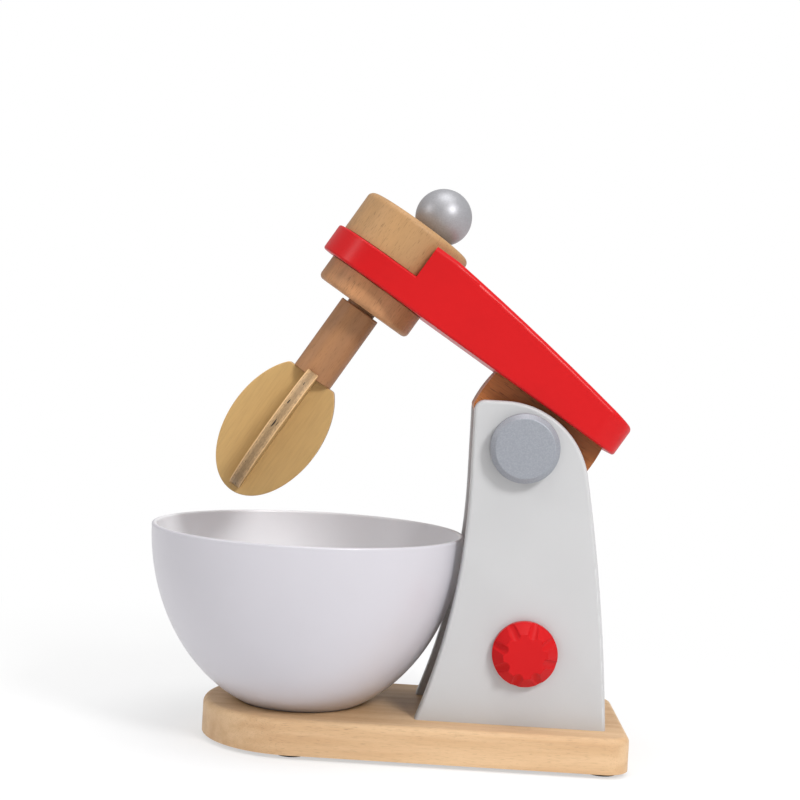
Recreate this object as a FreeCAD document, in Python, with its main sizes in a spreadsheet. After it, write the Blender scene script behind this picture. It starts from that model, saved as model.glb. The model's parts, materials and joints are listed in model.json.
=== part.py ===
"""Wooden toy stand mixer with a tilting head, a turning beater, a lift-out bowl and a dial.

Axes: X runs from the bowl to the rear, Y from the near panel to the far one, Z up.
The origin is on the floor, below the middle of the whole toy, with the head raised.
Pieces of the head are drawn as they lie with the head lowered, about the pivot,
and are then turned up by raise_angle.
"""
import FreeCAD
import Part
import Sketcher
import math
import os
from FreeCAD import Placement, Rotation, Vector

SIZES = {
    # base
    "pad_height": 2.0,
    "pad_radius": 7.0,
    "base_thickness": 16.0,
    "base_width": 92.0,
    "base_rear_reach": 55.0,
    "base_corner_radius": 12.0,
    "base_edge_round": 3.0,
    "pad_inset": 12.0,
    # bowl
    "bowl_height": 84.5,
    "bowl_radius": 74.6,
    "bowl_foot_cut": 5.5,
    "bowl_offset": 0.8,
    "bowl_rim_round": 0.9,
    "bowl_wall": 2.2,
    "bowl_floor": 3.0,
    "bowl_recess_depth": 2.0,
    "bowl_recess_gap": 0.5,
    # pivot and side panels
    "head_reach": 100.0,
    "pivot_over_base": 128.0,
    "raise_angle": 32.6,
    "body_width": 61.0,
    "panel_thickness": 9.5,
    "panel_front": 23.8,
    "panel_corner_radius": 5.0,
    "panel_crown_radius": 40.0,
    "panel_crown_rear": 9.4,
    "panel_crown_angle": 10.8,
    "panel_rear_radius": 930.0,
    "panel_flare_radius": 318.5,
    "panel_flare_drop": 18.0,
    "panel_edge_round": 1.7,
    # spacer, cross dowels and screws
    "spacer_height": 24.0,
    "spacer_front": 26.0,
    "spacer_rear": 34.0,
    "cross_dowel_radius": 4.0,
    "cross_dowel_depth": 6.0,
    "spacer_dowel_offset": 18.0,
    "stop_dowel_along": 21.0,
    "screw_radius": 2.0,
    "screw_head_radius": 4.0,
    "screw_head_depth": 2.2,
    "screw_depth": 22.0,
    "screw_offset": 33.0,
    # arm
    "arm_seat": 21.0,
    "arm_width": 63.0,
    "arm_rear": 36.3,
    "arm_rear_corner": 14.0,
    "ledge_thickness": 13.7,
    "arm_thickness": 30.6,
    "arm_rear_thickness": 15.2,
    "arm_step_offset": 14.0,
    "arm_flat_end": 74.0,
    "arm_slope_radius": 1550.0,
    "arm_top_round": 2.5,
    "arm_bottom_round": 1.3,
    "ledge_round": 1.0,
    # pivot block, axle and knobs
    "block_length": 60.3,
    "block_side_height": 18.8,
    "block_face_radius": 60.0,
    "block_bottom_radius": 17.0,
    "block_corner_round": 3.0,
    "block_dowel_radius": 4.0,
    "block_dowel_half": 11.0,
    "block_dowel_offset": 19.0,
    "axle_radius": 5.0,
    "axle_in_knob": 5.5,
    "washer_radius": 14.0,
    "washer_thickness": 1.2,
    "knob_radius": 16.0,
    "knob_thickness": 8.0,
    "knob_bevel": 2.4,
    "knob_edge_round": 0.8,
    # crank drum, ball and shaft
    "drum_radius": 28.8,
    "drum_height": 21.5,
    "drum_round": 3.0,
    "pocket_gap": 0.6,
    "ball_radius": 13.8,
    "ball_flat": 10.8,
    "crank_radius": 12.5,
    "crank_angle": 61.0,
    "ball_pin_radius": 3.0,
    "ball_pin_depth": 9.0,
    "shaft_radius": 7.5,
    "shaft_in_drum": 15.0,
    "shaft_in_stem": 13.0,
    # lower disc, stem and paddles
    "disc_radius": 25.5,
    "disc_thickness": 11.9,
    "disc_round": 2.5,
    "neck_length": 1.5,
    "stem_radius": 10.4,
    "stem_length": 39.4,
    "stem_round": 0.6,
    "mortise_depth": 14.0,
    "mortise_half": 7.4,
    "paddle_thickness": 6.0,
    "paddle_half_width": 23.2,
    "paddle_half_height": 36.5,
    "paddle_cut": 30.3,
    "paddle_cross_rise": 2.6,
    "paddle_edge_round": 0.5,
    "paddle_shoulder_round": 2.0,
    # dial
    "dial_rear": 5.4,
    "dial_drop": 94.2,
    "dial_radius": 15.0,
    "dial_thickness": 9.0,
    "dial_skirt": 3.2,
    "dial_face_radius": 10.2,
    "dial_groove_radius": 2.8,
    "dial_groove_inner": 8.2,
    "dial_groove_tilt": 45.0,
    "dial_axle_radius": 4.0,
    "dial_axle_in_dial": 5.5,
    "dial_cap_radius": 8.0,
    "dial_cap_thickness": 3.5,
    "dial_washer_thickness": 0.8,
    # clearances
    "running_gap": 0.08,
    "side_gap": 0.3,
    "glue_gap": 0.05,
}
DIAL_GROOVES = 8
FIRST_GROOVE_ANGLE = 29.5
# Lengths and volumes closer than these count as the same
CLOSE = 1e-3
LEAST_CUT = 1e-6

doc = FreeCAD.newDocument("toy_stand_mixer")
sheet = doc.addObject("Spreadsheet::Sheet", "sizes")
for row, (name, number) in enumerate(SIZES.items(), 1):
    sheet.set("A%d" % row, name)
    sheet.set("B%d" % row, str(number))
    sheet.setAlias("B%d" % row, name)
doc.recompute()


class Size:
    """A number that remembers the expression it was worked out with."""

    def __init__(self, number, text):
        self.number = number
        self.text = text

    def __add__(self, other):
        other = as_size(other)
        return Size(self.number + other.number, "(%s + %s)" % (self.text, other.text))

    def __sub__(self, other):
        other = as_size(other)
        return Size(self.number - other.number, "(%s - %s)" % (self.text, other.text))

    def __mul__(self, other):
        other = as_size(other)
        return Size(self.number * other.number, "(%s * %s)" % (self.text, other.text))

    def __truediv__(self, other):
        other = as_size(other)
        return Size(self.number / other.number, "(%s / %s)" % (self.text, other.text))

    def __neg__(self):
        return Size(-self.number, "(0 - %s)" % self.text)


def as_size(value):
    return value if isinstance(value, Size) else Size(float(value), repr(float(value)))


def root(value):
    return Size(math.sqrt(value.number), "sqrt(%s)" % value.text)


def cosine(angle):
    return Size(math.cos(math.radians(angle.number)), "cos(%s * 1 deg)" % angle.text)


def sine(angle):
    return Size(math.sin(math.radians(angle.number)), "sin(%s * 1 deg)" % angle.text)


class Sizes:
    """Every named size, as size.name."""


size = Sizes()
for name, number in SIZES.items():
    setattr(size, name, Size(number, "sizes." + name))
ZERO = as_size(0)

# Heights above the floor, places along X, and heights about the pivot
base_top = size.pad_height + size.base_thickness
pivot_height = base_top + size.pivot_over_base
bowl_bottom = base_top - size.bowl_recess_depth
bowl_curve_drop = size.bowl_height + size.bowl_foot_cut
bowl_reach = size.head_reach - size.bowl_offset
pivot_rear = (bowl_reach + size.bowl_radius - size.base_rear_reach) / 2
bowl_rear = pivot_rear - bowl_reach
inner_half = size.body_width / 2 - size.panel_thickness
outer_half = size.body_width / 2
block_half = inner_half - size.washer_thickness - size.side_gap
ledge_top = size.arm_seat + size.ledge_thickness
arm_top = size.arm_seat + size.arm_thickness
drum_bottom = ledge_top + size.side_gap
drum_top = drum_bottom + size.drum_height
disc_top = size.arm_seat - size.side_gap
disc_bottom = disc_top - size.disc_thickness
stem_top = disc_bottom - size.neck_length
stem_bottom = stem_top - size.stem_length
shaft_top = drum_bottom + size.shaft_in_drum
shaft_bottom = stem_top - size.shaft_in_stem
knob_seat = outer_half + size.side_gap
panel_middle = (inner_half + outer_half) / 2
screw_places = [(pivot_rear + size.screw_offset * along, panel_middle * side)
                for along in (-1, 1) for side in (-1, 1)]
spacer_middle = (size.spacer_rear - size.spacer_front) / 2
dowel_height = size.spacer_height / 2 - size.pivot_over_base
crank_x = size.crank_radius * cosine(size.crank_angle) - size.head_reach
crank_y = size.crank_radius * sine(size.crank_angle)
ball_pin_in_drum = size.ball_pin_depth
crossing_height = stem_bottom - size.paddle_cut

STAND = Placement(Vector(pivot_rear.number, 0, pivot_height.number), Rotation())
BOWL = Placement(Vector(bowl_rear.number, 0, bowl_bottom.number), Rotation())
HEAD = Placement(STAND.Base, Rotation(Vector(0, 1, 0), size.raise_angle.number))
BEATER_TURNED = HEAD.multiply(Placement(Vector(-size.head_reach.number, 0, 0),
                                        Rotation(Vector(0, 0, 1), 90)))
pieces = {}


def bind(thing, property_name, value):
    """Set a size of an object and tie it to the sheet."""
    value = as_size(value)
    thing.setExpression(property_name, value.text)


def loose_body(name, placement):
    """A body that a piece is made from."""
    body = doc.addObject("PartDesign::Body", name)
    body.Label = name
    body.Placement = placement
    return body


def new_body(label, placement):
    """A body that is a finished piece."""
    body = loose_body(label, placement)
    pieces[label] = body
    return body


def new_sketch(body, role, offset=ZERO):
    """A sketch on one of the body's own origin planes, moved along the plane's normal."""
    sketch = body.newObject("Sketcher::SketchObject", body.Label + "_sketch")
    plane = [item for item in body.Origin.OriginFeatures if item.Role == role][0]
    sketch.AttachmentSupport = [(plane, "")]
    sketch.MapMode = "FlatFace"
    sketch.AttachmentOffset = Placement(Vector(0, 0, offset.number), Rotation())
    bind(sketch, "AttachmentOffset.Base.z", offset)
    return sketch


def fix(sketch, kind, *targets):
    """Add a dimension to a sketch: the last target is its size."""
    value = as_size(targets[-1])
    index = sketch.addConstraint(Sketcher.Constraint(kind, *targets[:-1], value.number))
    sketch.setExpression("Constraints[%d]" % index, value.text)


def fix_point(sketch, geometry, vertex, x, y):
    fix(sketch, "DistanceX", -1, 1, geometry, vertex, x)
    fix(sketch, "DistanceY", -1, 1, geometry, vertex, y)


def arc_through(start, end, radius, bulge):
    """The short arc from start to end, with its middle on the bulge side (1 left, -1 right)."""
    chord = end - start
    middle = (start + end) / 2
    left = Vector(-chord.y, chord.x, 0)
    left.normalize()
    sink = math.sqrt(max(radius ** 2 - chord.Length ** 2 / 4, 0))
    centre = middle - left * (sink * bulge)
    top = centre + left * (radius * bulge)
    return Part.Arc(start, top, end)


def outline(sketch, points):
    """A closed outline: each point is (x, y), or (x, y, radius, bulge) where an arc follows it."""
    first = sketch.GeometryCount
    spots = [Vector(as_size(p[0]).number, as_size(p[1]).number, 0) for p in points]
    ends = spots[1:] + spots[:1]
    for point, start, end in zip(points, spots, ends):
        if len(point) == 4:
            sketch.addGeometry(arc_through(start, end, as_size(point[2]).number, point[3]), False)
        else:
            sketch.addGeometry(Part.LineSegment(start, end), False)
    count = len(points)
    starts = [2 if stored_backwards(sketch, first + i, spots[i]) else 1 for i in range(count)]
    for i in range(count):
        following = (i + 1) % count
        joint = Sketcher.Constraint("Coincident", first + i, 3 - starts[i],
                                    first + following, starts[following])
        sketch.addConstraint(joint)
    for i, point in enumerate(points):
        fix_point(sketch, first + i, starts[i], point[0], point[1])
        if len(point) == 4:
            fix(sketch, "Radius", first + i, point[2])


def stored_backwards(sketch, geometry, start):
    """True where an arc is stored the other way round, so that it ends at its first point."""
    return not near(sketch.getPoint(geometry, 1).distanceToPoint(start), 0)


def circle(sketch, x, y, radius):
    x, y, radius = as_size(x), as_size(y), as_size(radius)
    centre = Vector(x.number, y.number, 0)
    geometry = sketch.addGeometry(Part.Circle(centre, Vector(0, 0, 1), radius.number), False)
    fix_point(sketch, geometry, 3, x, y)
    fix(sketch, "Radius", geometry, radius)


def rectangle(sketch, low_x, low_y, high_x, high_y):
    outline(sketch, [(low_x, low_y), (high_x, low_y), (high_x, high_y), (low_x, high_y)])


def ellipse(sketch, x, y, half_width, half_height):
    """An upright ellipse, taller than it is wide."""
    centre = Vector(as_size(x).number, as_size(y).number, 0)
    top = centre + Vector(0, half_height.number, 0)
    side = centre - Vector(half_width.number, 0, 0)
    geometry = sketch.addGeometry(Part.Ellipse(top, side, centre), False)
    sketch.exposeInternalGeometry(geometry)
    fix_point(sketch, geometry, 3, x, y)
    sketch.addConstraint(Sketcher.Constraint("Vertical", geometry + 1))
    fix(sketch, "Distance", geometry + 1, 1, geometry + 1, 2, half_height * 2)
    fix(sketch, "Distance", geometry + 2, 1, geometry + 2, 2, half_width * 2)


def pad(body, sketch, length, reverse=False, middle=False):
    feature = body.newObject("PartDesign::Pad", body.Label + "_pad")
    feature.Profile = sketch
    feature.SideType = "Symmetric" if middle else "One side"
    feature.Reversed = reverse
    feature.Length = as_size(length).number
    bind(feature, "Length", length)
    doc.recompute()
    return feature


def pocket(body, sketch, length=None, reverse=False, middle=False):
    """Cut a sketch out of a body, right through where no length is given."""
    before = body.Shape.Volume
    feature = body.newObject("PartDesign::Pocket", body.Label + "_pocket")
    feature.Profile = sketch
    feature.SideType = "Symmetric" if middle else "One side"
    feature.Reversed = reverse
    if length is None:
        feature.Type = "ThroughAll"
    else:
        feature.Length = as_size(length).number
        bind(feature, "Length", length)
    doc.recompute()
    if body.Shape.Volume > before - LEAST_CUT:
        raise RuntimeError("%s cuts nothing" % feature.Name)
    return feature


def revolve(body, sketch):
    feature = body.newObject("PartDesign::Revolution", body.Label + "_revolution")
    feature.Profile = sketch
    feature.ReferenceAxis = (sketch, ["V_Axis"])
    feature.Angle = 360
    doc.recompute()
    return feature


def dress(body, kind, amount, test):
    """Round or chamfer the edges that pass a test on their lowest and highest corners."""
    base = body.Tip
    names = []
    for number, edge in enumerate(base.Shape.Edges, 1):
        if test(edge, edge.BoundBox):
            names.append("Edge%d" % number)
    if not names:
        raise RuntimeError("%s has no edge to dress" % body.Label)
    feature = body.newObject("PartDesign::" + kind, body.Label + "_" + kind.lower())
    feature.Base = (base, names)
    amount_name = "Radius" if kind == "Fillet" else "Size"
    setattr(feature, amount_name, amount.number)
    bind(feature, amount_name, amount)
    doc.recompute()
    return feature


def near(first, second):
    return abs(first - second) < CLOSE


def rod(name, radius, length, place, direction):
    """A plain round piece from a place along a direction."""
    item = doc.addObject("Part::Cylinder", name)
    item.Radius = as_size(radius).number
    item.Height = as_size(length).number
    bind(item, "Radius", radius)
    bind(item, "Height", length)
    item.Placement = Placement(place, Rotation(Vector(0, 0, 1), direction))
    return item


def spot(x, y, z):
    return Vector(as_size(x).number, as_size(y).number, as_size(z).number)


def group(label, items, placement=None):
    """Name one finished piece, or several alike that share a name, and put it in its place."""
    joined = doc.addObject("Part::Compound", label)
    joined.Label = label
    joined.Links = items
    if placement is not None:
        joined.Placement = placement
    pieces[label] = joined


def cut(name, base, tool):
    item = doc.addObject("Part::Cut", name)
    item.Base = base
    item.Tool = tool
    return item


def place_by_pivot(item, x, y, z):
    """Tie where a loose rod of the stand starts to the sheet."""
    bind(item, "Placement.Base.x", pivot_rear + x)
    bind(item, "Placement.Base.y", y)
    bind(item, "Placement.Base.z", pivot_height + z)


def build_base():
    """Board with a round front under the bowl, a recess for the bowl and screw holes."""
    body = new_body("base_board", Placement())
    half = size.base_width / 2
    front = bowl_rear
    rear = pivot_rear + size.base_rear_reach
    corner = size.base_corner_radius
    plan = new_sketch(body, "XY_Plane", size.pad_height)
    outline(plan, [
        (front, half, half, -1),
        (front - half, ZERO, half, -1),
        (front, -half),
        (rear - corner, -half, corner, -1),
        (rear, corner - half),
        (rear, half - corner, corner, -1),
        (rear - corner, half),
    ])
    pad(body, plan, size.base_thickness)
    dress(body, "Fillet", size.base_edge_round,
          lambda edge, box: near(box.ZMin, box.ZMax) and near(box.ZMax, base_top.number))
    recess = new_sketch(body, "XY_Plane", base_top)
    circle(recess, bowl_rear, 0, bowl_radius_above(size.bowl_recess_depth) + size.bowl_recess_gap)
    pocket(body, recess, size.bowl_recess_depth)
    holes = new_sketch(body, "XY_Plane", size.pad_height)
    heads = new_sketch(body, "XY_Plane", size.pad_height)
    for x, y in screw_places:
        circle(holes, x, y, size.screw_radius + size.glue_gap)
        circle(heads, x, y, size.screw_head_radius + size.glue_gap)
    pocket(body, holes, None, reverse=True)
    pocket(body, heads, size.screw_head_depth, reverse=True)


def build_pads():
    """Thin round pads that keep the board off the floor."""
    side = size.base_width / 2 - size.pad_inset
    rear = pivot_rear + size.base_rear_reach - size.pad_inset
    items = []
    for x in (bowl_rear, rear):
        for y in (-side, side):
            item = rod("pad_%d" % len(items), size.pad_radius, size.pad_height,
                       spot(x, y, 0), Vector(0, 0, 1))
            bind(item, "Placement.Base.x", x)
            bind(item, "Placement.Base.y", y)
            items.append(item)
    group("foot_pads", items)


def build_screws():
    """Countersunk screws up through the board into the panels."""
    items = []
    for x, y in screw_places:
        number = len(items)
        shank = rod("screw_shank_%d" % number, size.screw_radius,
                    size.base_thickness + size.screw_depth, spot(x, y, size.pad_height),
                    Vector(0, 0, 1))
        head = doc.addObject("Part::Cone", "screw_head_%d" % number)
        bind(head, "Radius1", size.screw_head_radius)
        bind(head, "Radius2", size.screw_radius)
        bind(head, "Height", size.screw_head_depth)
        for item in (shank, head):
            bind(item, "Placement.Base.x", x)
            bind(item, "Placement.Base.y", y)
            bind(item, "Placement.Base.z", size.pad_height)
        whole = doc.addObject("Part::Fuse", "screw_%d" % number)
        whole.Base = shank
        whole.Tool = head
        items.append(whole)
    group("base_screws", items)


def build_bowl():
    """Thin bowl whose inner and outer walls are parts of two ellipses, with a rounded rim."""
    body = new_body("bowl", BOWL)
    profile = new_sketch(body, "XZ_Plane")
    top = size.bowl_height
    inner_radius = size.bowl_radius - size.bowl_wall
    inner_drop = bowl_curve_drop - size.bowl_wall
    inner_foot = elliptic_radius(inner_radius, inner_drop, top - size.bowl_floor)
    spots = [
        (ZERO, ZERO),
        (bowl_radius_above(ZERO), ZERO),
        (size.bowl_radius, top),
        (inner_radius, top),
        (inner_foot, size.bowl_floor),
        (ZERO, size.bowl_floor),
    ]
    curves = {1: (size.bowl_radius, bowl_curve_drop), 3: (inner_radius, inner_drop)}
    points = [spot(x, y, 0) for x, y in spots]
    sides = []
    for i, start in enumerate(points):
        end = points[(i + 1) % len(points)]
        if i not in curves:
            line = profile.addGeometry(Part.LineSegment(start, end), False)
            sides.append((line, 1, 2))
            continue
        wide, deep = curves[i]
        centre = Vector(0, top.number, 0)
        crown = centre + Vector(0, deep.number, 0)
        whole = Part.Ellipse(crown, centre - Vector(wide.number, 0, 0), centre)
        first, second = sorted((whole.parameter(start), whole.parameter(end)))
        curve = profile.addGeometry(Part.ArcOfEllipse(whole, first, second), False)
        profile.exposeInternalGeometry(curve)
        forward = near(profile.getPoint(curve, 1).distanceToPoint(start), 0)
        sides.append((curve, 1, 2) if forward else (curve, 2, 1))
        fix_point(profile, curve, 3, ZERO, top)
        profile.addConstraint(Sketcher.Constraint("Vertical", curve + 1))
        fix(profile, "Distance", curve + 1, 1, curve + 1, 2, deep * 2)
        fix(profile, "Distance", curve + 2, 1, curve + 2, 2, wide * 2)
    for side, following in zip(sides, sides[1:] + sides[:1]):
        joint = Sketcher.Constraint("Coincident", side[0], side[2], following[0], following[1])
        profile.addConstraint(joint)
    for i, (x, y) in enumerate(spots):
        if i in curves or (i - 1) in curves:
            fix(profile, "DistanceY", -1, 1, sides[i][0], sides[i][1], y)
        else:
            fix_point(profile, sides[i][0], sides[i][1], x, y)
    revolve(body, profile)
    dress(body, "Fillet", size.bowl_rim_round,
          lambda edge, box: near(box.ZMin, top.number) and near(box.ZMax, top.number))


def elliptic_radius(half_width, half_height, drop):
    """How wide half an ellipse is, a drop below its middle."""
    return half_width * root(as_size(1) - (drop / half_height) * (drop / half_height))


def bowl_radius_above(height):
    """The bowl's outer radius at a height above its foot."""
    return elliptic_radius(size.bowl_radius, bowl_curve_drop, size.bowl_height - height)


def panel_outline():
    """Side view of a panel about the pivot, each point with the arc that follows it."""
    front = size.panel_front
    top = size.arm_seat
    foot = -size.pivot_over_base
    corner = size.panel_corner_radius
    flare = size.panel_flare_radius
    flare_rise = size.pivot_over_base - size.panel_flare_drop
    front_foot = -(front + flare - root(flare * flare - flare_rise * flare_rise))
    crown_height = top - size.panel_crown_radius
    crown_x = size.panel_crown_radius * cosine(size.panel_crown_angle) - size.panel_crown_rear
    crown_y = size.panel_crown_radius * sine(size.panel_crown_angle) + crown_height
    rear = size.panel_rear_radius
    middle_x = crown_x - rear * cosine(size.panel_crown_angle)
    middle_y = crown_y - rear * sine(size.panel_crown_angle)
    fall = middle_y - foot
    rear_foot = middle_x + root(rear * rear - fall * fall)
    return [
        (rear_foot, foot),
        (front_foot, foot, flare, -1),
        (-front, -size.panel_flare_drop),
        (-front, top - corner, corner, 1),
        (corner - front, top),
        (-size.panel_crown_rear, top, size.panel_crown_radius, 1),
        (crown_x, crown_y, rear, 1),
    ]


def build_panel(label, side):
    """Upright panel on one side of the body: side is -1 for the near one, 1 for the far one."""
    body = new_body(label, STAND)
    plan = new_sketch(body, "XZ_Plane", inner_half * -side)
    outline(plan, panel_outline())
    circle(plan, 0, 0, size.axle_radius + size.running_gap)
    if side < 0:
        circle(plan, size.dial_rear, -size.dial_drop, size.dial_axle_radius + size.running_gap)
    pad(body, plan, size.panel_thickness, reverse=side > 0)
    foot = -size.pivot_over_base.number
    dress(body, "Fillet", size.panel_edge_round,
          lambda edge, box: near(box.YMin, box.YMax) and box.ZMax > foot + CLOSE
          and not (isinstance(edge.Curve, Part.Circle) and edge.isClosed()))
    blind = new_sketch(body, "XZ_Plane", inner_half * -side)
    for x, z in cross_dowels:
        circle(blind, x, z, size.cross_dowel_radius + size.glue_gap)
    pocket(body, blind, size.cross_dowel_depth + size.glue_gap, reverse=side < 0)
    holes = new_sketch(body, "XY_Plane", -size.pivot_over_base)
    for x, y in screw_places:
        if y.number * side > 0:
            circle(holes, x - pivot_rear, y, size.screw_radius + size.glue_gap)
    pocket(body, holes, size.screw_depth + size.glue_gap, reverse=True)


def build_spacer():
    """Block low between the panels, crossed by two dowels."""
    body = new_body("spacer_block", STAND)
    side = new_sketch(body, "XZ_Plane")
    foot = -size.pivot_over_base
    rectangle(side, -size.spacer_front, foot, size.spacer_rear, foot + size.spacer_height)
    for x, z in cross_dowels[:2]:
        circle(side, x, z, size.cross_dowel_radius + size.glue_gap)
    pad(body, side, inner_half * 2, middle=True)


def build_cross_dowels():
    """Two dowels through the spacer, and the one that the raised head stops against."""
    length = (inner_half + size.cross_dowel_depth) * 2
    items = []
    for x, z in cross_dowels:
        item = rod("cross_dowel_%d" % len(items), size.cross_dowel_radius, length,
                   Vector(), Vector(0, 1, 0))
        place_by_pivot(item, x, -(length / 2), z)
        items.append(item)
    group("spacer_dowels", items[:2])
    group("stop_dowel", items[2:])


def build_block():
    """Dark block under the arm that turns on the axle between the panels."""
    body = new_body("pivot_block", HEAD)
    side = new_sketch(body, "XZ_Plane")
    top = size.arm_seat
    half = size.block_length / 2
    low = top - size.block_side_height
    radius = size.block_bottom_radius
    reach = half * half + low * low
    along = radius * radius / reach
    across = radius * root(reach - radius * radius) / reach
    touch_x = half * along - low * across
    touch_z = low * along - half * across
    outline(side, [
        (-half, top),
        (half, top, size.block_face_radius, 1),
        (half, low),
        (touch_x, touch_z, radius, 1),
        (-touch_x, touch_z),
        (-half, low, size.block_face_radius, 1),
    ])
    circle(side, 0, 0, size.axle_radius + size.glue_gap)
    pad(body, side, block_half * 2, middle=True)
    dress(body, "Fillet", size.block_corner_round,
          lambda edge, box: near(box.XMin, box.XMax) and near(box.ZMin, low.number))
    holes = new_sketch(body, "XY_Plane", top)
    for x in (-size.block_dowel_offset, size.block_dowel_offset):
        circle(holes, x, 0, size.block_dowel_radius + size.glue_gap)
    pocket(body, holes, size.block_dowel_half + size.glue_gap)


def build_block_dowels():
    """Two dowels that hold the block to the arm."""
    items = []
    for x in (-size.block_dowel_offset, size.block_dowel_offset):
        low = size.arm_seat - size.block_dowel_half
        item = rod("block_dowel_%d" % len(items), size.block_dowel_radius,
                   size.block_dowel_half * 2, spot(x, 0, low), Vector(0, 0, 1))
        bind(item, "Placement.Base.x", x)
        bind(item, "Placement.Base.z", low)
        items.append(item)
    group("block_dowels", items, HEAD)


def build_arm():
    """One-piece arm: a thin round ledge under the drum, then a thick part that falls to the rear."""
    body = new_body("arm", HEAD)
    half = size.arm_width / 2
    corner = size.arm_rear_corner
    rear = size.arm_rear
    front = -size.head_reach
    plan = new_sketch(body, "XY_Plane", size.arm_seat)
    outline(plan, [
        (front, half, half, -1),
        (front - half, ZERO, half, -1),
        (front, -half),
        (rear - corner, -half, corner, -1),
        (rear, corner - half),
        (rear, half - corner, corner, -1),
        (rear - corner, half),
    ])
    pad(body, plan, size.arm_thickness)
    dress(body, "Fillet", size.arm_bottom_round,
          lambda edge, box: near(box.ZMin, box.ZMax) and near(box.ZMax, size.arm_seat.number))
    step = front + size.arm_step_offset
    flat_end = -size.arm_flat_end
    rear_top = size.arm_seat + size.arm_rear_thickness
    beyond = half + size.arm_top_round
    side = new_sketch(body, "XZ_Plane")
    outline(side, [
        (front - beyond, ledge_top),
        (step, ledge_top),
        (step, arm_top),
        (flat_end, arm_top, size.arm_slope_radius, 1),
        (rear, rear_top),
        (rear + beyond, rear_top),
        (rear + beyond, arm_top + beyond),
        (front - beyond, arm_top + beyond),
    ])
    pocket(body, side, None, middle=True)
    dress(body, "Fillet", size.arm_top_round,
          lambda edge, box: box.ZMin > rear_top.number - CLOSE and box.XMin > step.number - CLOSE
          and not near(box.XMin, box.XMax) and not runs_across(box))
    dress(body, "Fillet", size.ledge_round,
          lambda edge, box: near(box.ZMin, box.ZMax) and near(box.ZMax, ledge_top.number)
          and not runs_across(box))
    seat = new_sketch(body, "XY_Plane", ledge_top)
    circle(seat, front, 0, size.drum_radius + size.pocket_gap)
    pocket(body, seat, size.arm_thickness, reverse=True)
    bore = new_sketch(body, "XY_Plane", size.arm_seat)
    circle(bore, front, 0, size.shaft_radius + size.running_gap)
    pocket(body, bore, None, reverse=True)
    holes = new_sketch(body, "XY_Plane", size.arm_seat)
    for x in (-size.block_dowel_offset, size.block_dowel_offset):
        circle(holes, x, 0, size.block_dowel_radius + size.glue_gap)
    pocket(body, holes, size.block_dowel_half + size.glue_gap, reverse=True)


def runs_across(box):
    """True for a straight edge across the arm."""
    return near(box.XMin, box.XMax) and near(box.ZMin, box.ZMax) and box.YMin < 0 < box.YMax


def build_axle():
    """Axle glued in the block and in both knobs, running in the panels."""
    length = (knob_seat + size.axle_in_knob) * 2
    item = rod("axle", size.axle_radius, length, spot(0, -(length / 2), 0), Vector(0, 1, 0))
    bind(item, "Placement.Base.y", -(length / 2))
    group("pivot_axle", [item], HEAD)
    washers = []
    for side in (-1, 1):
        low = block_half if side > 0 else -(block_half + size.washer_thickness)
        outer = rod("washer_disc_%d" % side, size.washer_radius, size.washer_thickness,
                    spot(0, low, 0), Vector(0, 1, 0))
        inner = rod("washer_hole_%d" % side, size.axle_radius + size.glue_gap,
                    size.washer_thickness, spot(0, low, 0), Vector(0, 1, 0))
        for item in (outer, inner):
            bind(item, "Placement.Base.y", low)
        washers.append(cut("washer_%d" % side, outer, inner))
    group("pivot_washers", washers, HEAD)


def build_knob(label, side):
    """Bevelled disc on one end of the axle."""
    turned = Rotation(Vector(0, 0, 1), Vector(0, side, 0))
    seat = Placement(spot(0, knob_seat * side, 0), turned)
    body = new_body(label, HEAD.multiply(seat))
    profile = new_sketch(body, "XZ_Plane")
    bore = size.axle_radius + size.glue_gap
    deep = size.axle_in_knob + size.glue_gap
    thick = size.knob_thickness
    outline(profile, [
        (bore, 0),
        (size.knob_radius, 0),
        (size.knob_radius, thick - size.knob_bevel),
        (size.knob_radius - size.knob_bevel, thick),
        (0, thick),
        (0, deep),
        (bore, deep),
    ])
    revolve(body, profile)
    dress(body, "Fillet", size.knob_edge_round,
          lambda edge, box: near(box.ZMin, box.ZMax) and box.ZMin > CLOSE
          and box.XLength / 2 > bore.number + CLOSE)


def build_drum():
    """Crank drum: a thick disc with rounded edges, glued on the drive shaft."""
    body = new_body("crank_drum", HEAD)
    plan = new_sketch(body, "XY_Plane", drum_bottom)
    circle(plan, -size.head_reach, 0, size.drum_radius)
    pad(body, plan, size.drum_height)
    dress(body, "Fillet", size.drum_round,
          lambda edge, box: near(box.ZMin, drum_top.number) and near(box.ZMax, drum_top.number))
    bore = new_sketch(body, "XY_Plane", drum_bottom)
    circle(bore, -size.head_reach, 0, size.shaft_radius + size.glue_gap)
    pocket(body, bore, size.shaft_in_drum + size.glue_gap, reverse=True)
    hole = new_sketch(body, "XY_Plane", drum_top)
    circle(hole, crank_x, crank_y, size.ball_pin_radius + size.glue_gap)
    pocket(body, hole, ball_pin_in_drum + size.glue_gap)


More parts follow.
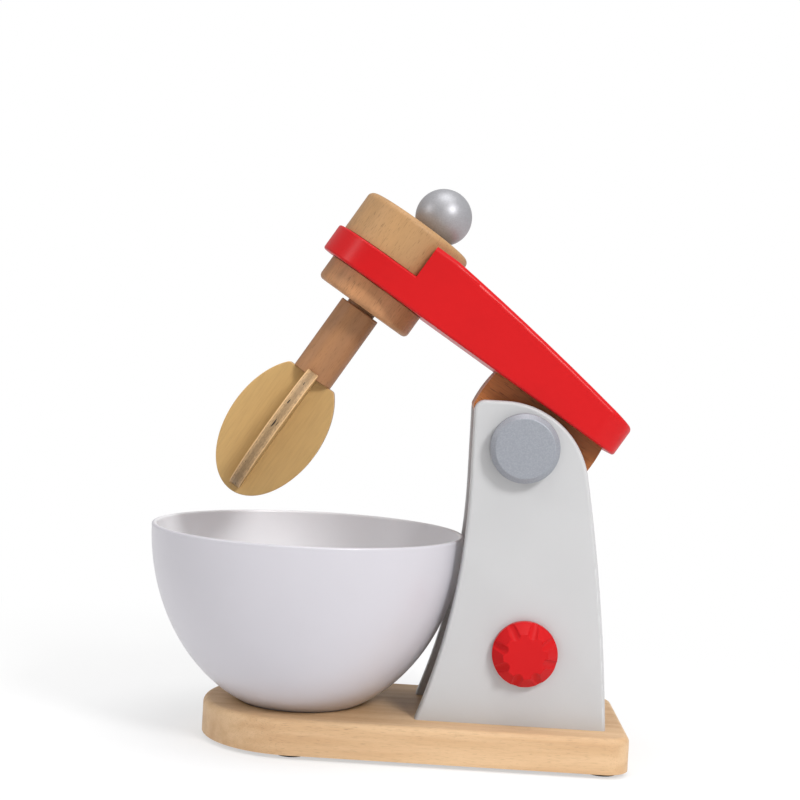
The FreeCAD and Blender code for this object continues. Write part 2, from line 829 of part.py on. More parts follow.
def build_ball():
    """Ball handle with a flat foot, and the pin that joins it to the drum."""
    middle = drum_top + size.ball_flat
    ball = doc.addObject("Part::Sphere", "ball_round")
    bind(ball, "Radius", size.ball_radius)
    below = doc.addObject("Part::Box", "ball_foot_cut")
    for name in ("Length", "Width"):
        bind(below, name, size.ball_radius * 2)
    bind(below, "Height", size.ball_radius)
    hole = rod("ball_hole", size.ball_pin_radius + size.glue_gap, size.ball_pin_depth + size.glue_gap,
               Vector(), Vector(0, 0, 1))
    pin = rod("ball_dowel", size.ball_pin_radius, size.ball_pin_depth + ball_pin_in_drum,
              Vector(), Vector(0, 0, 1))
    places = [
        (ball, crank_x, crank_y, middle),
        (below, crank_x - size.ball_radius, crank_y - size.ball_radius, drum_top - size.ball_radius),
        (hole, crank_x, crank_y, drum_top),
        (pin, crank_x, crank_y, drum_top - ball_pin_in_drum),
    ]
    for item, x, y, z in places:
        item.Placement.Base = spot(x, y, z)
        bind(item, "Placement.Base.x", x)
        bind(item, "Placement.Base.y", y)
        bind(item, "Placement.Base.z", z)
    group("crank_ball", [cut("ball_bored", cut("ball_flat_foot", ball, below), hole)], HEAD)
    group("ball_pin", [pin], HEAD)


def build_shaft():
    """Dowel from the drum down through the arm and the lower disc into the stem."""
    item = rod("shaft", size.shaft_radius, shaft_top - shaft_bottom,
               spot(-size.head_reach, 0, shaft_bottom), Vector(0, 0, 1))
    bind(item, "Placement.Base.x", -size.head_reach)
    bind(item, "Placement.Base.z", shaft_bottom)
    group("drive_shaft", [item], HEAD)


def build_disc():
    """Lower disc under the arm, glued on the drive shaft."""
    body = new_body("lower_disc", HEAD)
    plan = new_sketch(body, "XY_Plane", disc_bottom)
    circle(plan, -size.head_reach, 0, size.disc_radius)
    pad(body, plan, size.disc_thickness)
    dress(body, "Fillet", size.disc_round,
          lambda edge, box: near(box.ZMin, disc_bottom.number) and near(box.ZMax, disc_bottom.number))
    bore = new_sketch(body, "XY_Plane", disc_top)
    circle(bore, -size.head_reach, 0, size.shaft_radius + size.glue_gap)
    pocket(body, bore, None)


def build_stem():
    """Dowel with a round bore at the top and a cross mortise for the paddles below."""
    body = new_body("beater_stem", HEAD)
    front = -size.head_reach
    plan = new_sketch(body, "XY_Plane", stem_bottom)
    circle(plan, front, 0, size.stem_radius)
    pad(body, plan, size.stem_length)
    dress(body, "Fillet", size.stem_round, lambda edge, box: near(box.ZMin, box.ZMax))
    bore = new_sketch(body, "XY_Plane", stem_top)
    circle(bore, front, 0, size.shaft_radius + size.glue_gap)
    pocket(body, bore, size.shaft_in_stem + size.glue_gap)
    long_half = size.mortise_half + size.glue_gap
    thin_half = size.paddle_thickness / 2 + size.glue_gap
    for wide, deep in ((long_half, thin_half), (thin_half, long_half)):
        mortise = new_sketch(body, "XY_Plane", stem_bottom)
        rectangle(mortise, front - wide, -deep, front + wide, deep)
        pocket(body, mortise, size.mortise_depth + size.glue_gap, reverse=True)


def build_paddle(label, placement, centre_x, rise, slot_above):
    """Oval plywood paddle with a tongue in the stem; a slot lets it cross the other one."""
    body = new_body(label, placement)
    shoulder = stem_bottom + rise
    middle = stem_bottom - size.paddle_cut + rise
    tongue = size.mortise_half
    beyond = size.paddle_half_width + size.stem_radius
    low = middle - size.paddle_half_height - size.stem_radius
    high = stem_bottom + size.mortise_depth
    collar_reach = size.stem_radius + size.side_gap
    side = new_sketch(body, "XZ_Plane")
    ellipse(side, centre_x, middle, size.paddle_half_width, size.paddle_half_height)
    pad(body, side, size.paddle_thickness, middle=True)
    above = new_sketch(body, "XZ_Plane")
    for hand in (-1, 1):
        inner = centre_x + tongue * hand
        collar = centre_x + collar_reach * hand
        outer = centre_x + beyond * hand
        corners = [(outer, shoulder), (outer, high), (inner, high), (inner, stem_bottom)]
        if rise.number > 0:
            corners += [(collar, stem_bottom), (collar, shoulder)]
        outline(above, corners)
    pocket(body, above, None, middle=True)
    dress(body, "Fillet", size.paddle_shoulder_round,
          lambda edge, box: near(box.XMin, box.XMax) and near(box.ZMin, box.ZMax)
          and near(box.ZMin, shoulder.number)
          and abs(box.XMin - centre_x.number) > collar_reach.number + CLOSE)
    dress(body, "Fillet", size.paddle_edge_round,
          lambda edge, box: near(box.YMin, box.YMax) and box.ZMin < shoulder.number - CLOSE)
    tenon = new_sketch(body, "XZ_Plane")
    rectangle(tenon, centre_x - tongue, stem_bottom - tongue, centre_x + tongue, high)
    pad(body, tenon, size.paddle_thickness, middle=True)
    slot_half = size.paddle_thickness / 2 + size.glue_gap
    slot = new_sketch(body, "XZ_Plane")
    if slot_above:
        rectangle(slot, centre_x - slot_half, crossing_height, centre_x + slot_half, high)
    else:
        rectangle(slot, centre_x - slot_half, low, centre_x + slot_half, crossing_height)
    pocket(body, slot, None, middle=True)


def build_dial():
    """Dial with a round skirt and grooves down its bevelled rim, on its own axle."""
    facing = Rotation(Vector(1, 0, 0), 90)
    front = Placement(spot(size.dial_rear, -knob_seat, -size.dial_drop), facing)
    place = STAND.multiply(front)
    body = loose_body("dial_round", Placement())
    profile = new_sketch(body, "XZ_Plane")
    bore = size.dial_axle_radius + size.glue_gap
    deep = size.dial_axle_in_dial + size.glue_gap
    outline(profile, [
        (bore, 0),
        (size.dial_radius, 0),
        (size.dial_radius, size.dial_skirt),
        (size.dial_face_radius, size.dial_thickness),
        (0, size.dial_thickness),
        (0, deep),
        (bore, deep),
    ])
    revolve(body, profile)
    tools = []
    tilt = math.radians(size.dial_groove_tilt.number)
    outward = Vector(math.cos(tilt), 0, -math.sin(tilt))
    upward = Vector(math.sin(tilt), 0, math.cos(tilt))
    inner = spot(size.dial_groove_inner, 0, size.dial_thickness)
    start = inner + (upward - outward) * size.dial_groove_radius.number
    for number in range(DIAL_GROOVES):
        turn = Rotation(Vector(0, 0, 1), FIRST_GROOVE_ANGLE + number * 360.0 / DIAL_GROOVES)
        tools.append(rod("groove_%d" % number, size.dial_groove_radius, size.dial_radius * 2,
                         turn.multVec(start), turn.multVec(outward)))
    grooves = doc.addObject("Part::MultiFuse", "grooves")
    grooves.Shapes = tools
    group("dial", [cut("dial_grooved", body, grooves)], place)
    inner_end = size.panel_thickness + size.side_gap * 2 + size.dial_washer_thickness
    axle = rod("dial_axle_rod", size.dial_axle_radius,
               inner_end + size.dial_cap_thickness + size.dial_axle_in_dial,
               Vector(), Vector(0, 0, 1))
    bind(axle, "Placement.Base.z", -(inner_end + size.dial_cap_thickness))
    group("dial_axle", [axle], place)
    bore = size.dial_axle_radius + size.glue_gap
    ring(label="dial_washer", radius=size.dial_cap_radius, hole=bore,
         low=-(inner_end - size.side_gap / 2), thickness=size.dial_washer_thickness, place=place)
    ring(label="dial_cap", radius=size.dial_cap_radius, hole=bore,
         low=-(inner_end + size.dial_cap_thickness), thickness=size.dial_cap_thickness, place=place)


def ring(label, radius, hole, low, thickness, place):
    """A flat ring about the dial's axle."""
    outer = rod(label + "_disc", radius, thickness, Vector(), Vector(0, 0, 1))
    inner = rod(label + "_hole", hole, thickness, Vector(), Vector(0, 0, 1))
    for item in (outer, inner):
        bind(item, "Placement.Base.z", low)
    group(label, [cut(label + "_ring", outer, inner)], place)


def stop_dowel_place():
    """Where the dowel lies under the raised block: its face, a gap and the dowel's radius away."""
    half = size.block_length / 2
    low = size.arm_seat - size.block_side_height
    radius = size.block_bottom_radius
    reach = root(half * half + low * low)
    straight = root(reach * reach - radius * radius)
    # Unit direction of the flat face, from the tangent point to the corner, and its outward normal
    along_x = (half * straight + low * radius) / (reach * reach)
    along_z = (low * straight - half * radius) / (reach * reach) * -1
    normal_x = along_z
    normal_z = -along_x
    off = radius + size.side_gap + size.cross_dowel_radius
    local_x = normal_x * off + along_x * size.stop_dowel_along
    local_z = normal_z * off + along_z * size.stop_dowel_along
    turn_cos, turn_sin = cosine(size.raise_angle), sine(size.raise_angle)
    return local_x * turn_cos + local_z * turn_sin, local_z * turn_cos - local_x * turn_sin


cross_dowels = [
    (spacer_middle - size.spacer_dowel_offset, dowel_height),
    (spacer_middle + size.spacer_dowel_offset, dowel_height),
    stop_dowel_place(),
]


def check_and_write():
    """Stop on any failed object, then write one file for each piece."""
    doc.recompute()
    for item in doc.Objects:
        if "Invalid" in item.State or "Error" in item.State:
            raise RuntimeError("%s failed: %s" % (item.Name, item.State))
    os.makedirs("parts", exist_ok=True)
    for label, item in pieces.items():
        shape = item.Shape
        if shape.isNull() or not shape.isValid() or not shape.Solids:
            raise RuntimeError("%s has no valid solid" % label)
        shape.exportStep("parts/%s.step" % label)


build_base()
build_pads()
build_screws()
build_bowl()
build_panel("side_panel_near", -1)
build_panel("side_panel_far", 1)
build_spacer()
build_cross_dowels()
build_block()
build_block_dowels()
build_arm()
build_axle()
build_knob("pivot_knob_near", -1)
build_knob("pivot_knob_far", 1)
build_drum()
build_ball()
build_shaft()
build_disc()
build_stem()
build_paddle("beater_paddle_wide", HEAD, -size.head_reach, ZERO, slot_above=True)
build_paddle("beater_paddle_cross", BEATER_TURNED, ZERO, size.paddle_cross_rise,
             slot_above=False)
build_dial()
check_and_write()
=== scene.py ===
"""Looks of a wooden toy stand mixer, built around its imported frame."""

import json
import math

import bmesh
import bpy
from bpy.props import FloatProperty, FloatVectorProperty, PointerProperty
from mathutils import Euler, Matrix, Vector


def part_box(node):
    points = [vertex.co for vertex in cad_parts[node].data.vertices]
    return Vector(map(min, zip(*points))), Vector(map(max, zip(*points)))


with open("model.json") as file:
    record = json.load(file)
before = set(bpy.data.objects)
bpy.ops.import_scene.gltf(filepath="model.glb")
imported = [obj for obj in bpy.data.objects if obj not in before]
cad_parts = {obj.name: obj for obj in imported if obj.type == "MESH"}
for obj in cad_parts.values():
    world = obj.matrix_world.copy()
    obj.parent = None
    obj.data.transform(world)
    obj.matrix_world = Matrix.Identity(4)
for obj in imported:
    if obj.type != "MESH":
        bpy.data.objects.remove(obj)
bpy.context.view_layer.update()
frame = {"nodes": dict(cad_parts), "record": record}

bl_info = {
    "name": "Toy Stand Mixer",
    "version": (1, 0, 0),
    "blender": (4, 5, 0),
    "location": "View3D > Sidebar > Toy Mixer",
    "description": "Dresses a wooden toy stand mixer in paint, wood and plywood",
    "category": "Object",
}

MM = 0.001

# Sizes in mm; the foot cut is how far the bowl's curve would reach below its foot
BOWL_WALL = 2.2
BOWL_FOOT_CUT = 5.5
PADDLE_THICKNESS = 6.0
SENSOR_WIDTH = 36.0

# Colours of the hidden pieces, the plies and the studio; a wood has a light and a dark one
BOARD_WOOD = (0.66, 0.45, 0.26), (0.55, 0.34, 0.18)
PALE_WOOD = (0.60, 0.40, 0.22), (0.50, 0.31, 0.16)
PLIES = (0.44, 0.285, 0.145)
# Near black painted into the plies' holes as painted shade
PLY_VOID_SHADE = (0.03, 0.02, 0.012)
RUBBER = (0.03, 0.03, 0.03)
STEEL = (0.55, 0.55, 0.56)
PLASTIC = (0.75, 0.75, 0.73)
FLOOR_WHITE = (0.90, 0.90, 0.90)
WHITE = (1.0, 1.0, 1.0)

# How quickly a wood's pattern changes along X, Y and Z: slowly along the grain
GRAIN_X = (0.06, 1.0, 1.0)
GRAIN_Y = (1.0, 0.06, 1.0)
GRAIN_Z = (1.0, 1.0, 0.06)
BLOCK_GRAIN = (0.04, 0.5, 0.5)
BEATER_GRAIN = (0.55, 0.55, 0.07)

# The lamps: name, place and size in metres, all turned to one point in the toy
LAMPS = (
    ("key", (0.65, -0.85, 0.83), 0.32),
    ("fill", (-1.1, -0.45, 0.85), 0.30),
    ("top", (0.1, -0.15, 1.3), 0.80),
)
LAMP_TARGET = Vector((0, 0, 0.13))

# The floor's radius, and where its shadows fade to white, in metres from the toy's middle
FLOOR_RADIUS = 6.0
FADE_START = 0.10
FADE_END = 0.42
# Share of plain white in what is seen of the floor beside the toy
FLOOR_GLOW = 0.55


def joint(name):
    """A joint of the frame by its name."""
    return next(j for j in frame["record"]["behaviour"]["joints"] if j["name"] == name)


def middle(node):
    """The middle of a node's box."""
    low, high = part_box(node)
    return (Vector(low) + Vector(high)) / 2


def matrix_to(place, turn):
    """A frame at a place, turned by an angle about Y."""
    return Matrix.Translation(place) @ Matrix.Rotation(turn, 4, "Y")


# The head is at rest when raised, by the whole range of its joint
RAISE = -math.radians(joint("head_tilt")["range_deg"][0])
PIVOT = Vector(joint("head_tilt")["pos_m"])
HEAD = matrix_to(PIVOT, RAISE)
BEATER = matrix_to(Vector(joint("whisk_spin")["pos_m"]), RAISE)
BEATER_TURNED = BEATER @ Matrix.Rotation(math.radians(90), 4, "Z")
TOY = Matrix()

BOWL_LOW, BOWL_HIGH = [Vector(corner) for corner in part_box("bowl")]
BOWL_RIM = Vector((middle("bowl").x, 0, BOWL_HIGH.z))
# Half width and depth of the ellipse halfway through the bowl's wall, in mm from its rim's middle
BOWL_HALFWAY = (
    ((BOWL_HIGH.x - BOWL_LOW.x) / MM - BOWL_WALL) / 2,
    (BOWL_HIGH.z - BOWL_LOW.z) / MM + BOWL_FOOT_CUT - BOWL_WALL / 2,
)


def shade(colour, factor):
    """A darker or lighter tone of a colour."""
    return tuple(min(1.0, part * factor) for part in colour)


class Sock:
    """An output in a node tree, on which Python's operators add maths nodes."""

    def __init__(self, graph, source):
        self.graph = graph
        self.source = source

    def _math(self, operation, *values):
        return self.graph.node("ShaderNodeMath", {"operation": operation}, *values)

    def __add__(self, other):
        return self._math("ADD", self, other)

    def __radd__(self, other):
        return self._math("ADD", other, self)

    def __sub__(self, other):
        return self._math("SUBTRACT", self, other)

    def __rsub__(self, other):
        return self._math("SUBTRACT", other, self)

    def __mul__(self, other):
        return self._math("MULTIPLY", self, other)

    def __rmul__(self, other):
        return self._math("MULTIPLY", other, self)

    def __truediv__(self, other):
        return self._math("DIVIDE", self, other)

    def __rtruediv__(self, other):
        return self._math("DIVIDE", other, self)

    def abs(self):
        """The value without its sign."""
        return self._math("ABSOLUTE", self)

    def root(self):
        """The square root."""
        return self._math("SQRT", self)

    def at_least(self, other):
        """The larger of two values."""
        return self._math("MAXIMUM", self, other)

    def step(self, low, high):
        """0 below low, 1 above high, smooth between them."""
        return self.graph.node("ShaderNodeMapRange", {"interpolation_type": "SMOOTHSTEP"},
                               self, low, high, 0.0, 1.0)

    def band(self, centre, half, soft):
        """1 within half of a centre, falling to 0 over a soft edge."""
        return 1 - (self - centre).abs().step(half, half + soft)


class Graph:
    """A node tree, to which node() adds every node that isn't there at first."""

    def __init__(self, tree):
        self.tree = tree

    def node(self, kind, settings, *values, output=None):
        """Add a node: its settings first, then values or links for its sockets in order."""
        made = self.tree.nodes.new(kind)
        for key, value in settings.items():
            setattr(made, key, value)
        sockets = [item for item in made.inputs if item.enabled]
        for socket, value in zip(sockets, values):
            self.feed(socket, value)
        wanted = [item for item in made.outputs if item.enabled and output in (None, item.name)]
        return Sock(self, wanted[0])

    def feed(self, socket, value):
        """Give a socket a link, a colour or a plain value."""
        if isinstance(value, Sock):
            self.tree.links.new(value.source, socket)
        elif socket.type == "RGBA":
            socket.default_value = (*value[:3], 1.0)
        else:
            socket.default_value = value

    def axes(self, vector):
        """The X, Y and Z of a vector."""
        split = self.node("ShaderNodeSeparateXYZ", {}, vector).source.node
        return [Sock(self, output) for output in split.outputs]

    def join(self, x, y, z):
        """A vector of three values."""
        return self.node("ShaderNodeCombineXYZ", {}, x, y, z)

    def stretch(self, vector, x, y, z):
        """A vector whose parts are multiplied by three numbers."""
        return self.node("ShaderNodeVectorMath", {"operation": "MULTIPLY"}, vector, (x, y, z))

    def noise(self, vector, scale, detail=2.0, rough=0.5):
        """Cloudy values from 0 to 1."""
        return self.node("ShaderNodeTexNoise", {}, vector, scale, detail, rough)

    def mix(self, factor, first, second):
        """Blend two colours."""
        return self.node("ShaderNodeMix", {"data_type": "RGBA"}, factor, first, second)

    def bump(self, height, strength, distance):
        """The surface's direction over small bumps."""
        bumped = self.node("ShaderNodeBump", {}, strength, distance)
        self.feed(bumped.source.node.inputs["Height"], height)
        return bumped

    def seen_by(self, first, second):
        """1 for rays of the two kinds named, 0 for others."""
        rays = self.node("ShaderNodeLightPath", {}).source.node.outputs
        return Sock(self, rays[f"Is {first} Ray"]).at_least(Sock(self, rays[f"Is {second} Ray"]))


class Shader(Graph):
    """A material with one Principled shader."""

    def __init__(self, name):
        self.material = bpy.data.materials.new(name)
        self.material.use_nodes = True
        super().__init__(self.material.node_tree)
        self.principled = self.tree.nodes["Principled BSDF"]
        self.position = self.node("ShaderNodeTexCoord", {}, output="Object")

    def put(self, **values):
        """Set the Principled shader's sockets, with _ for a space in their names."""
        for key, value in values.items():
            self.feed(self.principled.inputs[key.replace("_", " ")], value)

    def placed(self, matrix):
        """Object coordinates in a piece's own frame, in millimetres."""
        place, turn, size = (Matrix.Scale(1 / MM, 4) @ matrix.inverted()).decompose()
        return self.node("ShaderNodeMapping", {"vector_type": "POINT"}, self.position,
                         tuple(place), tuple(turn.to_euler()), tuple(size))


def painted(name, colour, rough, coat=0.0, gloss=0.5, dirt=0.10):
    """Sprayed paint on wood: faint grain under it, orange peel, dust specks and thin wear."""
    s = Shader(name)
    spots = s.placed(TOY)
    cloud = s.noise(spots, scale=0.02, detail=3.0)
    peel = s.noise(spots, scale=0.55, detail=3.0)
    grain = s.noise(s.stretch(spots, 0.5, 0.5, 0.08), scale=1.0, detail=4.0)
    specks = s.noise(spots, scale=1.4, detail=1.0).step(0.70, 0.78)
    height = peel * 0.5 + grain * 0.35 + specks * 0.2
    s.put(Base_Color=s.mix(cloud.step(0.35, 0.75), colour, shade(colour, 1 - dirt)),
          Roughness=rough + cloud * 0.08, Coat_Weight=coat, Coat_Roughness=0.22,
          Specular_IOR_Level=gloss, Normal=s.bump(height, strength=0.07, distance=0.00010))
    return s.material


def bowl_finish(name, colour, lit_inner_colour):
    """Smooth lacquer with a soft sheen and faint turning marks; the inside is painted paler as
    painted light.
    """
    s = Shader(name)
    spots = s.placed(Matrix.Translation(BOWL_RIM))
    x, y, z = s.axes(spots)
    rings = s.noise(s.join(z, 0.0, 0.0), scale=2.2, detail=3.0)
    cloud = s.noise(spots, scale=0.02)
    peel = s.noise(spots, scale=0.6)
    wide, deep = BOWL_HALFWAY
    # The wall's inside, painted paler than the outside as painted light
    painted_light_inside = 1 - ((x * x + y * y) / wide ** 2 + z * z / deep ** 2).step(0.985, 1.015)
    outside = s.mix(cloud, colour, shade(colour, 0.95))
    height = rings * 0.6 + peel * 0.3
    s.put(Base_Color=s.mix(painted_light_inside, outside, lit_inner_colour), Roughness=0.30 + cloud * 0.10,
          Normal=s.bump(height, strength=0.18, distance=0.00012))
    return s.material


def wood(name, matrix, tones, stretch, fleck=0.5, rough=0.42):
    """Lacquered wood: growth rings across the grain, fine flecks and pores along it."""
    s = Shader(name)
    light, dark = tones
    local = s.placed(matrix)
    bent = s.noise(s.stretch(local, *[part * 0.02 for part in stretch]), scale=1.0)
    along = s.stretch(local, *stretch)
    rings = s.noise(along, scale=0.16, detail=3.0, rough=0.55)
    fine = s.noise(along, scale=2.4, detail=4.0, rough=0.6)
    pores = s.noise(along, scale=4.0).step(0.58, 0.70)
    tone = s.mix(rings.step(0.30, 0.70), light, dark)
    tone = s.mix(fine.step(0.45, 0.85) * fleck, tone, shade(dark, 0.72))
    tone = s.mix(pores * fleck, tone, shade(dark, 0.48))
    tone = s.mix(bent.step(0.4, 0.7) * 0.25, tone, shade(light, 1.12))
    height = fine * 0.6 - pores * 0.8
    s.put(Base_Color=tone, Roughness=rough + fine * 0.15, Specular_IOR_Level=0.3,
          Normal=s.bump(height, strength=0.30, distance=0.00015))
    return s.material


def plywood(name, matrix, face):
    """Plywood whose thickness is the frame's Y: plain veneer faces and banded edges with holes;
    the holes are painted near black as painted shade, and the outer plies paler, partly as painted
    highlight.
    """
    s = Shader(name)
    local = s.placed(matrix)
    y = s.axes(local)[1]
    grain = s.noise(s.stretch(local, 0.9, 0.3, 0.07), scale=1.0, detail=4.0, rough=0.6)
    veneer = s.mix(grain.step(0.35, 0.75), face, shade(face, 0.90))
    wobble = s.noise(s.stretch(local, 0.3, 0.0, 0.3), scale=0.4) * 0.5
    depth = ((y + wobble - 0.25) / (PADDLE_THICKNESS / 2)).abs()
    inside = 1 - depth.step(0.93, 0.97)
    core = depth.band(0.0, 0.30, 0.12)
    glue = depth.band(0.44, 0.02, 0.05)
    # The outer plies are painted half again as bright: partly the paler face veneer, partly a
    # painted highlight along the paddle's edges
    outer = depth.step(0.74, 0.84)
    ends = s.noise(s.stretch(local, 0.5, 1.6, 0.5), scale=1.2, detail=4.0, rough=0.7)
    holes = s.noise(s.stretch(local, 0.18, 0.9, 0.18), scale=1.0, detail=0.0)
    # Holes in the core ply: sunk by the bump and painted near black as painted shade inside them
    shaded_voids = holes.step(0.73, 0.76) * core
    layer = s.mix(core, shade(PLIES, 1.08), shade(PLIES, 0.72))
    layer = s.mix(outer, layer, shade(PLIES, 1.5))
    layer = s.mix(glue * 0.35, layer, shade(PLIES, 0.45))
    layer = s.mix(ends.step(0.46, 0.60) * 0.6 * (1 - outer), layer, shade(PLIES, 0.5))
    layer = s.mix(shaded_voids, layer, PLY_VOID_SHADE)
    height = grain * 0.4 - shaded_voids * 1.5 - glue * 0.2
    s.put(Base_Color=s.mix(inside, veneer, layer), Roughness=0.45 + grain * 0.12,
          Specular_IOR_Level=0.3, Normal=s.bump(height, strength=0.35, distance=0.0002))
    return s.material


def plain(name, colour, rough, metal=0.0):
    """A small hidden piece: one colour with a little cloud and grit."""
    s = Shader(name)
    grit = s.noise(s.placed(TOY), scale=1.5, detail=3.0)
    s.put(Base_Color=s.mix(grit, colour, shade(colour, 0.8)), Metallic=metal,
          Roughness=rough + grit * 0.1, Normal=s.bump(grit, strength=0.2, distance=0.0001))
    return s.material


def silver(name, colour, rough, metal):
    """Metallic grey paint: tiny flakes of differing brightness."""
    s = Shader(name)
    spots = s.placed(TOY)
    flakes = s.noise(spots, scale=1.4, detail=3.0, rough=0.7)
    cloud = s.noise(spots, scale=0.06)
    tone = s.mix(flakes.step(0.35, 0.7), shade(colour, 0.88), shade(colour, 1.04))
    tone = s.mix(cloud.step(0.4, 0.8) * 0.3, tone, shade(colour, 0.85))
    s.put(Base_Color=tone, Metallic=metal, Roughness=rough + flakes * 0.1,
          Normal=s.bump(flakes, strength=0.25, distance=0.0001))
    return s.material


def give(material, *nodes):
    """Give CAD nodes a material."""
    for node in nodes:
        data = frame["nodes"][node].data
        data.materials.clear()
        data.materials.append(material)


def colour_setting(name, description, default):
    """A colour that can be changed in the sidebar."""
    return FloatVectorProperty(name=name, description=description, subtype="COLOR",
                               default=default, size=3, min=0, max=1)


class MixerColours(bpy.types.PropertyGroup):
    """Colours of the toy, as they are lit by plain light."""

    red: colour_setting("Red paint", "Arm and dial", (0.54, 0.008, 0.010))
    white: colour_setting("White paint", "Side panels", (0.50, 0.50, 0.505))
    bowl: colour_setting("Bowl", "Lacquer of the outer wall", (0.55, 0.535, 0.575))
    # The bowl's inside colour is its lacquer painted paler, as painted light
    bowl_inside_painted_light: colour_setting("Bowl's inside", "Lacquer of the inner wall", (0.76, 0.755, 0.775))
    grey: colour_setting("Grey paint", "Pivot knobs", (0.30, 0.315, 0.35))
    silver: colour_setting("Silver paint", "Ball handle", (0.37, 0.37, 0.39))
    beech: colour_setting("Light wood", "Crank drum", (0.44, 0.25, 0.110))
    brown: colour_setting("Brown wood", "Lower disc and stem", (0.37, 0.18, 0.080))
    dark: colour_setting("Dark wood", "Pivot block", (0.52, 0.180, 0.050))
    veneer: colour_setting("Veneer", "Paddle faces", (0.52, 0.33, 0.13))


class MixerStudio(bpy.types.PropertyGroup):
    """Camera and light."""

    lens: FloatProperty(name="Lens", description="Focal length on a 36 mm sensor", unit="CAMERA",
                        default=65.745, min=10)
    distance: FloatProperty(name="Distance", description="From camera to the toy's mid-plane",
                            unit="LENGTH", default=0.700, min=0.1)
    roll: FloatProperty(name="Roll", description="How far the picture is turned",
                        subtype="ANGLE", default=math.radians(3.2))
    left: FloatProperty(name="Left of pivot", description="Camera's place left of the pivot",
                        unit="LENGTH", default=0.0435)
    above: FloatProperty(name="Above pivot", description="Camera's place above the pivot",
                         unit="LENGTH", default=0.0352)
    aside: FloatProperty(name="Aside", description="Camera turned to its left",
                         subtype="ANGLE", default=math.radians(1.333))
    down: FloatProperty(name="Down", description="Camera tipped down",
                        subtype="ANGLE", default=math.radians(1.333))
    key: FloatProperty(name="Key light", description="Power of the key light", unit="POWER",
                       default=9.4, min=0)
    fill: FloatProperty(name="Fill light", description="Power of the fill light", unit="POWER",
                        default=2.8, min=0)
    top: FloatProperty(name="Top light", description="Power of the top light", unit="POWER",
                       default=6.0, min=0)
    ambient: FloatProperty(name="Ambient", description="World strength on the toy",
                           default=0.56, min=0)


class DressStand(bpy.types.Operator):
    """Paint the panels and finish the board, the block and the dowels between them"""

    bl_idname = "mixer.stand"
    bl_label = "Stand"

    def execute(self, context):
        colours = context.scene.mixer_colours
        give(painted("white_paint", colours.white, rough=0.40, dirt=0.03),
             "side_panel_near", "side_panel_far")
        give(wood("board_wood", TOY, BOARD_WOOD, GRAIN_X), "base_board")
        give(wood("spacer_wood", TOY, PALE_WOOD, GRAIN_X), "spacer_block")
        give(wood("dowel_wood", TOY, PALE_WOOD, GRAIN_Y), "spacer_dowels", "stop_dowel")
        give(plain("pad_rubber", RUBBER, rough=0.8), "foot_pads")
        give(plain("screw_steel", STEEL, rough=0.3, metal=1.0), "base_screws")
        return {"FINISHED"}


class DressBowl(bpy.types.Operator):
    """Lacquer the bowl"""

    bl_idname = "mixer.bowl"
    bl_label = "Bowl"

    def execute(self, context):
        colours = context.scene.mixer_colours
        give(bowl_finish("bowl_lacquer", colours.bowl, colours.bowl_inside_painted_light), "bowl")
        return {"FINISHED"}


class DressHead(bpy.types.Operator):
    """Paint the arm and the knobs, and finish the dark block and its dowels"""

    bl_idname = "mixer.head"
    bl_label = "Head"

    def execute(self, context):
        colours = context.scene.mixer_colours
        block_wood = (colours.dark, shade(colours.dark, 0.5))
        give(painted("red_paint", colours.red, rough=0.34, coat=0.10, gloss=0.10), "arm")
        give(wood("dark_wood", HEAD, block_wood, BLOCK_GRAIN, fleck=0.95, rough=0.38),
             "pivot_block")
        give(silver("grey_paint", colours.grey, rough=0.42, metal=0.25),
             "pivot_knob_near", "pivot_knob_far")
        give(wood("pin_wood", HEAD, PALE_WOOD, GRAIN_Z), "block_dowels", "pivot_axle")
        give(plain("washer_plastic", PLASTIC, rough=0.5), "pivot_washers")
        return {"FINISHED"}


class DressBeater(bpy.types.Operator):
    """Finish the drum, the ball handle, the shaft, the stem and the plywood paddles"""

    bl_idname = "mixer.beater"
    bl_label = "Beater"

    def execute(self, context):
        colours = context.scene.mixer_colours
        drum_wood = (colours.beech, shade(colours.beech, 0.84))
        disc_wood = (shade(colours.brown, 1.35), shade(colours.brown, 0.85))
        stem_wood = (colours.brown, shade(colours.brown, 0.76))
        give(wood("drum_wood", BEATER, drum_wood, BEATER_GRAIN, fleck=0.7), "crank_drum")
        give(wood("disc_wood", BEATER, disc_wood, BEATER_GRAIN, fleck=0.7), "lower_disc")
        give(wood("stem_wood", BEATER, stem_wood, BEATER_GRAIN),
             "beater_stem", "drive_shaft", "ball_pin")
        give(silver("silver_paint", colours.silver, rough=0.39, metal=0.45), "crank_ball")
        give(plywood("paddle_ply_wide", BEATER, colours.veneer), "beater_paddle_wide")
        give(plywood("paddle_ply_cross", BEATER_TURNED, colours.veneer), "beater_paddle_cross")
        return {"FINISHED"}


class DressDial(bpy.types.Operator):
    """Paint the dial and finish its axle"""

    bl_idname = "mixer.dial"
    bl_label = "Dial"

    def execute(self, context):
        colours = context.scene.mixer_colours
        give(painted("dial_paint", colours.red, rough=0.34, coat=0.05, gloss=0.10), "dial")
        give(wood("dial_pin_wood", TOY, PALE_WOOD, GRAIN_Y), "dial_axle", "dial_cap")
        give(plain("dial_washer_plastic", PLASTIC, rough=0.5), "dial_washer")
        return {"FINISHED"}


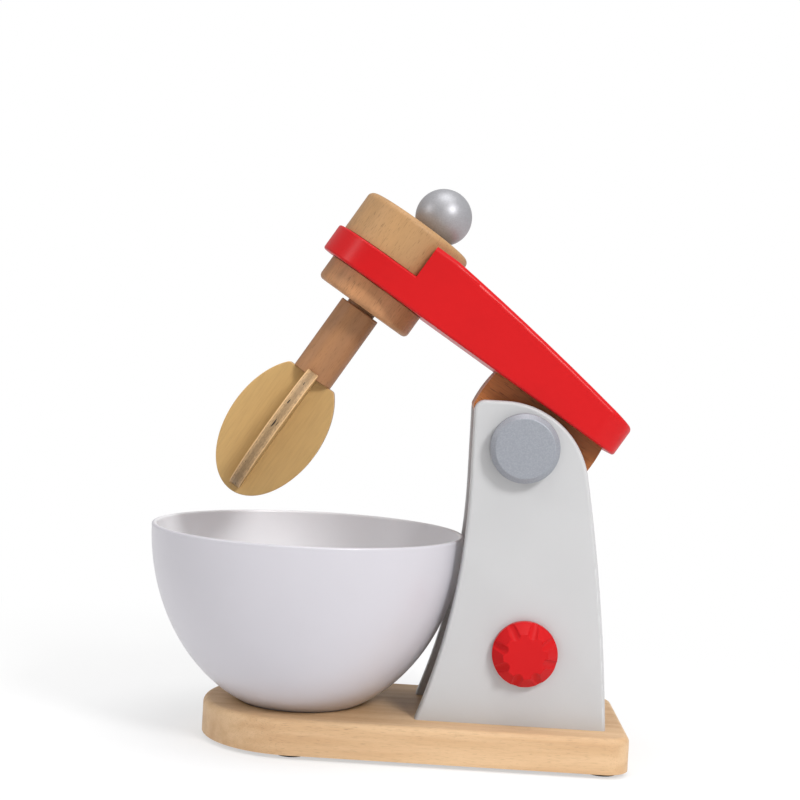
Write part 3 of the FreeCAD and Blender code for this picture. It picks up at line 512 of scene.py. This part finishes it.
def floor_material():
    """Matt white floor that keeps the shadow near the toy and fades to plain white."""
    s = Shader("studio_floor")
    x, y = s.axes(s.position)[:2]
    away = (x * x + y * y).root().step(FADE_START, FADE_END)
    fade = (away * (1 - FLOOR_GLOW) + FLOOR_GLOW) * s.seen_by("Camera", "Glossy")
    s.put(Base_Color=FLOOR_WHITE, Roughness=0.9)
    matt = Sock(s, s.principled.outputs["BSDF"])
    glow = s.node("ShaderNodeEmission", {}, WHITE)
    surface = s.node("ShaderNodeMixShader", {}, fade, matt, glow)
    s.feed(s.tree.nodes["Material Output"].inputs["Surface"], surface)
    return s.material


def add_floor(scene):
    """A large white disc under the toy."""
    mesh = bpy.data.meshes.new("studio_floor")
    made = bmesh.new()
    bmesh.ops.create_circle(made, cap_ends=True, segments=96, radius=FLOOR_RADIUS)
    made.to_mesh(mesh)
    made.free()
    mesh.materials.append(floor_material())
    floor = bpy.data.objects.new("studio_floor", mesh)
    scene.collection.objects.link(floor)


def add_world(scene, ambient):
    """Soft light on the toy, and plain white behind it."""
    scene.world = bpy.data.worlds.new("studio_world")
    scene.world.use_nodes = True
    graph = Graph(scene.world.node_tree)
    background = graph.tree.nodes["Background"]
    seen = graph.seen_by("Camera", "Transmission")
    graph.feed(background.inputs["Color"], WHITE)
    graph.feed(background.inputs["Strength"], seen * (1 - ambient) + ambient)


def add_lamp(scene, name, place, size, power):
    """A round lamp that shines on the toy."""
    data = bpy.data.lights.new(name, "AREA")
    data.shape = "DISK"
    data.size = size
    data.energy = power
    lamp = bpy.data.objects.new(name, data)
    lamp.location = place
    lamp.rotation_euler = (LAMP_TARGET - lamp.location).to_track_quat("-Z", "Y").to_euler()
    scene.collection.objects.link(lamp)


def add_camera(scene, studio):
    """A camera in front of the pivot, rolled, then turned aside and tipped down."""
    data = bpy.data.cameras.new("camera")
    data.lens = studio.lens
    data.sensor_width = SENSOR_WIDTH
    camera = bpy.data.objects.new("camera", data)
    camera.location = PIVOT + Vector((-studio.left, -studio.distance, studio.above))
    level = Euler((math.radians(90), -studio.roll, 0)).to_matrix()
    aim = level @ Euler((-studio.down, studio.aside, 0)).to_matrix()
    camera.rotation_euler = aim.to_euler()
    scene.collection.objects.link(camera)
    scene.camera = camera


class BuildStudio(bpy.types.Operator):
    """Add the floor, the lights and the camera"""

    bl_idname = "mixer.studio"
    bl_label = "Studio"

    def execute(self, context):
        scene = context.scene
        studio = scene.mixer_studio
        add_floor(scene)
        add_world(scene, studio.ambient)
        for name, place, size in LAMPS:
            add_lamp(scene, f"{name}_light", place, size, getattr(studio, name))
        add_camera(scene, studio)
        scene.view_settings.view_transform = "Standard"
        return {"FINISHED"}


class MixerPanel(bpy.types.Panel):
    """Buttons for each part of the toy"""

    bl_idname = "VIEW3D_PT_toy_mixer"
    bl_label = "Toy Mixer"
    bl_space_type = "VIEW_3D"
    bl_region_type = "UI"
    bl_category = "Toy Mixer"

    def draw(self, context):
        for operator in OPERATORS:
            self.layout.operator(operator.bl_idname)
        for group in (context.scene.mixer_colours, context.scene.mixer_studio):
            for name in group.__annotations__:
                self.layout.prop(group, name)


OPERATORS = (DressStand, DressBowl, DressHead, DressBeater, DressDial, BuildStudio)
CLASSES = (MixerColours, MixerStudio, *OPERATORS, MixerPanel)


def register():
    """Make the settings, the operators and the panel known."""
    for item in CLASSES:
        bpy.utils.register_class(item)
    bpy.types.Scene.mixer_colours = PointerProperty(type=MixerColours)
    bpy.types.Scene.mixer_studio = PointerProperty(type=MixerStudio)


def unregister():
    """Take them away again."""
    del bpy.types.Scene.mixer_studio
    del bpy.types.Scene.mixer_colours
    for item in reversed(CLASSES):
        bpy.utils.unregister_class(item)


def main():
    """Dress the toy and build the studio."""
    register()
    for operator in OPERATORS:
        group, name = operator.bl_idname.split(".")
        getattr(getattr(bpy.ops, group), name)()


if __name__ == "__main__":
    main()
